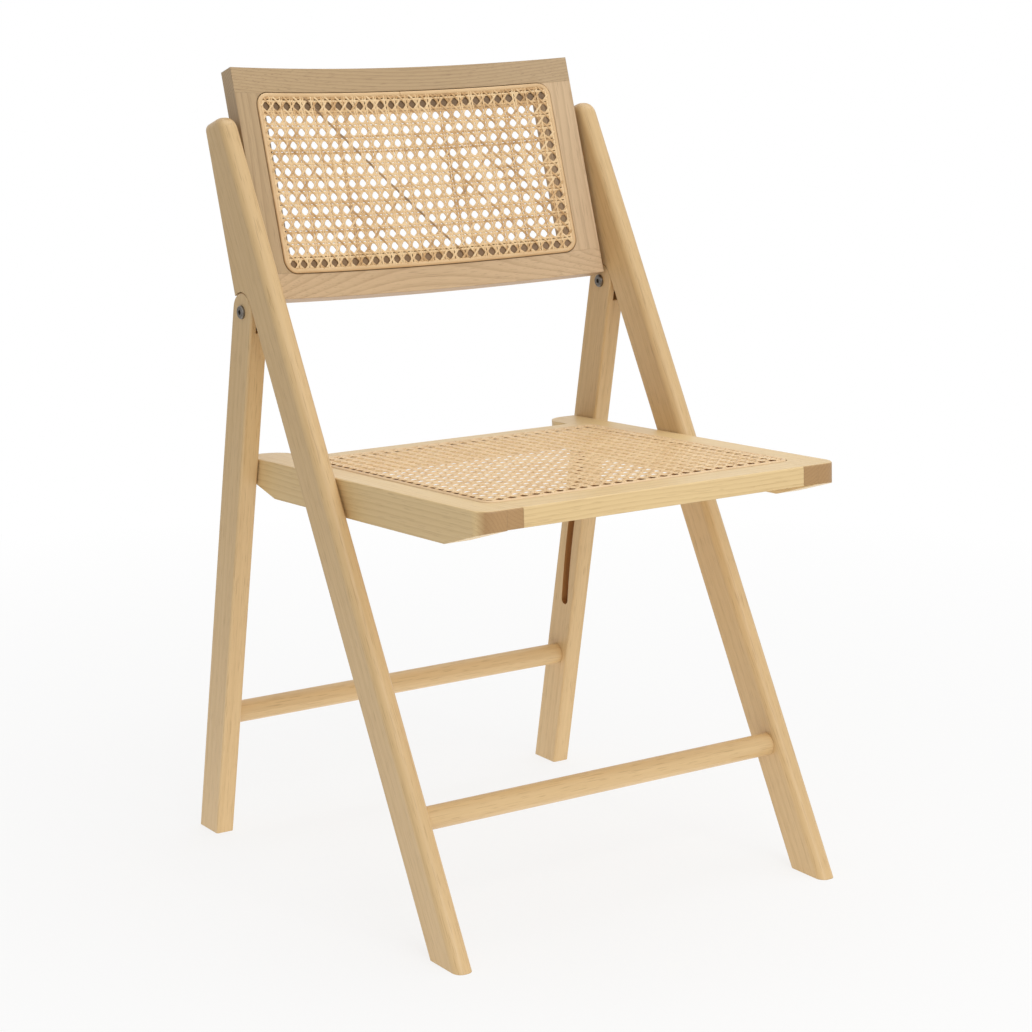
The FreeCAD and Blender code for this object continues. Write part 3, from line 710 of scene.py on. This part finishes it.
def dress_seat(name, turn, pith):
    finish = wood(
        "wood_" + name, SEAT_ASH, turn, pith, SEAT_RINGS, PLAIN_CONTRAST, SEAT_END_SHADE, seat_shaded_ledge
    )
    dress_node(name, finish)


def dress_back(name, turn, pith, tones):
    finish = wood("wood_" + name, tones, turn, pith, BACK_RINGS, BACK_CONTRAST, BACK_END_SHADE, back_shaded_ledge)
    dress_node(name, finish)


dress_leg("front_leg_left", ALONG_FRONT_LEG, (-0.31, -0.40))
dress_leg("front_leg_right", ALONG_FRONT_LEG, (0.345, -0.41))
dress_leg("rear_leg_left", ALONG_REAR_LEG, (-0.30, 0.34), groove_darkening)
dress_leg("rear_leg_right", ALONG_REAR_LEG, (0.29, 0.35), groove_darkening)
dress_leg("front_rung", ALONG_X, (-0.16, -0.20))
dress_leg("rear_rung", ALONG_X, (-0.17, 0.20))
for side, sign in (("left", -1), ("right", 1)):
    dress_seat("seat_side_rail_" + side, ALONG_SEAT, (sign * 0.27, -0.36))
    dress_seat("seat_inner_strip_" + side, ALONG_SEAT, (sign * 0.13, -0.49))
dress_seat("seat_front_rail", ALONG_X, (-0.35, -0.21))
dress_seat("seat_rear_rail", ALONG_X, (-0.34, 0.10))
# Painted shade on the left stile and top rail, painted light on the right stile and bottom rail, through two
# copies of the back's ash
dress_back("back_stile_left", ALONG_BACK, (-0.14, -0.15), SHADED_BACK_ASH)
dress_back("back_stile_right", ALONG_BACK, (0.14, -0.15), LIT_BACK_ASH)
dress_back("back_top_rail", ALONG_X, (-0.70, 0.13), SHADED_BACK_ASH)
dress_back("back_bottom_rail", ALONG_X, (-0.67, 0.06), LIT_BACK_ASH)
dowel_wood = wood("wood_dowels", DOWEL_BEECH, ALONG_X, (-0.5, 0.1), LEG_RINGS)
for name in ("back_dowels", "back_leg_dowels", "seat_dowels"):
    dress_node(name, dowel_wood)
steel = steel_material()
for name in ("pivot_bolts", "pivot_cap_nuts", "seat_pivot_pins", "seat_slide_pins"):
    dress_node(name, steel)

cane = cane_material()
back_reed = reed_material("back_reed", BACK_REED_TONES)
seat_reed = reed_material("seat_reed", SEAT_REED_TONES)
back_weave = weave_mesh("back_cane_weave", back_outline, on_back, BACK_WEAVE, BACK_WEAVE_SEED)
seat_weave = weave_mesh("seat_cane_weave", seat_outline, on_seat, SEAT_WEAVE, SEAT_WEAVE_SEED)
back_spline = spline_mesh("back_reed_spline", back_outline, on_back, BACK_REED)
seat_spline = spline_mesh("seat_reed_spline", seat_outline, on_seat, SEAT_REED)
add_piece("back_cane_weave", back_weave, cane, "front_frame", "back_cane")
add_piece("seat_cane_weave", seat_weave, cane, "seat", "seat_cane")
add_piece("back_reed_spline", back_spline, back_reed, "front_frame", "back_spline")
add_piece("seat_reed_spline", seat_spline, seat_reed, "seat", "seat_spline")


# Stage: floor, soft light and camera
BRIGHT_SIDE = (0.62, -0.62, 0.48)
ROOM_LIGHT = 0.50
ROOM_CONTRAST = 0.20
LAMP_TARGET = (0.0, 0.0, 0.4)

# White paper floor: it glows onto the chair, more near it, and fades to plain white away from it
FLOOR_REACH = 14.0
FLOOR_GREY = (0.86, 0.86, 0.86, 1.0)
FLOOR_FADE_RADII = (0.4, 1.7)
FLOOR_FADE = (0.78, 1.0)
FLOOR_LEAST_GLOW = 0.6
FLOOR_GLOW_RADII = (0.3, 2.0)
FLOOR_GLOW = (1.5, 0.55)
WHITE = (1.0, 1.0, 1.0, 1.0)
WARM_WHITE = (1.0, 0.985, 0.96, 1.0)


def add_floor():
    mesh = bpy.data.meshes.new("floor")
    corners = [(x * FLOOR_REACH, y * FLOOR_REACH, 0) for x, y in ((-1, -1), (1, -1), (1, 1), (-1, 1))]
    mesh.from_pydata(corners, [], [(0, 1, 2, 3)])
    floor = bpy.data.objects.new("floor", mesh)
    bpy.context.scene.collection.objects.link(floor)
    material, tree, shader = new_material("floor_paper")
    shader.inputs["Base Color"].default_value = FLOOR_GREY
    shader.inputs["Roughness"].default_value = 0.9
    shader.inputs["Specular IOR Level"].default_value = 0.1
    glow = add(tree, "ShaderNodeEmission")
    glow.inputs["Color"].default_value = WHITE
    blend = add(tree, "ShaderNodeMixShader")
    rays = add(tree, "ShaderNodeLightPath")
    place = add(tree, "ShaderNodeTexCoord")
    away = add(tree, "ShaderNodeVectorMath", operation="LENGTH")
    link(tree, place.outputs["Object"], away.inputs[0])
    fade = map_range(tree, away.outputs["Value"], FLOOR_FADE_RADII, FLOOR_FADE)
    seen = math_node(tree, "MULTIPLY", rays.outputs["Is Camera Ray"], fade)
    seen = math_node(tree, "MAXIMUM", seen, FLOOR_LEAST_GLOW)
    link(tree, seen, blend.inputs[0])
    near = map_range(tree, away.outputs["Value"], FLOOR_GLOW_RADII, FLOOR_GLOW)
    strength = add(tree, "ShaderNodeMix", data_type="FLOAT")
    link(tree, rays.outputs["Is Camera Ray"], strength.inputs[0])
    link(tree, near, strength.inputs[2])
    strength.inputs[3].default_value = 1.0
    link(tree, strength.outputs[0], glow.inputs["Strength"])
    link(tree, shader.outputs[0], blend.inputs[1])
    link(tree, glow.outputs[0], blend.inputs[2])
    link(tree, blend.outputs[0], tree.nodes["Material Output"].inputs["Surface"])
    mesh.materials.append(material)


def add_world():
    world = bpy.data.worlds.new("studio")
    bpy.context.scene.world = world
    world.use_nodes = True
    tree = world.node_tree
    light = tree.nodes["Background"]
    light.inputs["Color"].default_value = WARM_WHITE
    direction = add(tree, "ShaderNodeTexCoord")
    towards = dot(tree, direction.outputs["Generated"], BRIGHT_SIDE)
    strength = math_node(tree, "MULTIPLY_ADD", towards, ROOM_CONTRAST)
    strength.node.inputs[2].default_value = ROOM_LIGHT
    link(tree, strength, light.inputs["Strength"])
    seen = add(tree, "ShaderNodeBackground")
    seen.inputs["Color"].default_value = WHITE
    seen.inputs["Strength"].default_value = 1.0
    rays = add(tree, "ShaderNodeLightPath")
    shown = math_node(tree, "ADD", rays.outputs["Is Camera Ray"], rays.outputs["Is Glossy Ray"], clamp=True)
    shown = math_node(tree, "ADD", shown, rays.outputs["Is Transmission Ray"], clamp=True)
    blend = add(tree, "ShaderNodeMixShader")
    link(tree, shown, blend.inputs[0])
    link(tree, light.outputs[0], blend.inputs[1])
    link(tree, seen.outputs[0], blend.inputs[2])
    link(tree, blend.outputs[0], tree.nodes["World Output"].inputs["Surface"])


def add_softbox(name, place, size, power):
    data = bpy.data.lights.new(name, "AREA")
    data.shape = "RECTANGLE"
    data.size = size[0]
    data.size_y = size[1]
    data.energy = power
    lamp = bpy.data.objects.new(name, data)
    bpy.context.scene.collection.objects.link(lamp)
    lamp.location = place
    lamp.rotation_euler = (Vector(LAMP_TARGET) - Vector(place)).to_track_quat("-Z", "Y").to_euler()


def add_camera():
    azimuth = math.radians(CAMERA_AZIMUTH)
    elevation = math.radians(CAMERA_ELEVATION)
    back = Vector((
        math.sin(azimuth) * math.cos(elevation), -math.cos(azimuth) * math.cos(elevation), math.sin(elevation)
    ))
    right = Vector((math.cos(azimuth), math.sin(azimuth), 0.0))
    up = back.cross(right)
    turn = Matrix.Rotation(math.radians(CAMERA_ROLL), 3, back)
    right = turn @ right
    up = turn @ up
    data = bpy.data.cameras.new("camera")
    data.sensor_width = CAMERA_SENSOR
    data.lens = CAMERA_LENS
    camera = bpy.data.objects.new("camera", data)
    bpy.context.scene.collection.objects.link(camera)
    camera.matrix_world = Matrix((
        (right.x, up.x, back.x, CAMERA_PLACE[0]),
        (right.y, up.y, back.y, CAMERA_PLACE[1]),
        (right.z, up.z, back.z, CAMERA_PLACE[2]),
        (0.0, 0.0, 0.0, 1.0),
    ))
    bpy.context.scene.camera = camera


add_floor()
add_world()
add_softbox("key_light", place=(-0.2, -3.0, 2.2), size=(2.4, 2.0), power=40.0)
add_softbox("top_light", place=(0.4, 0.3, 3.0), size=(2.4, 2.4), power=26.0)
add_camera()
bpy.context.scene.view_settings.view_transform = "Standard"
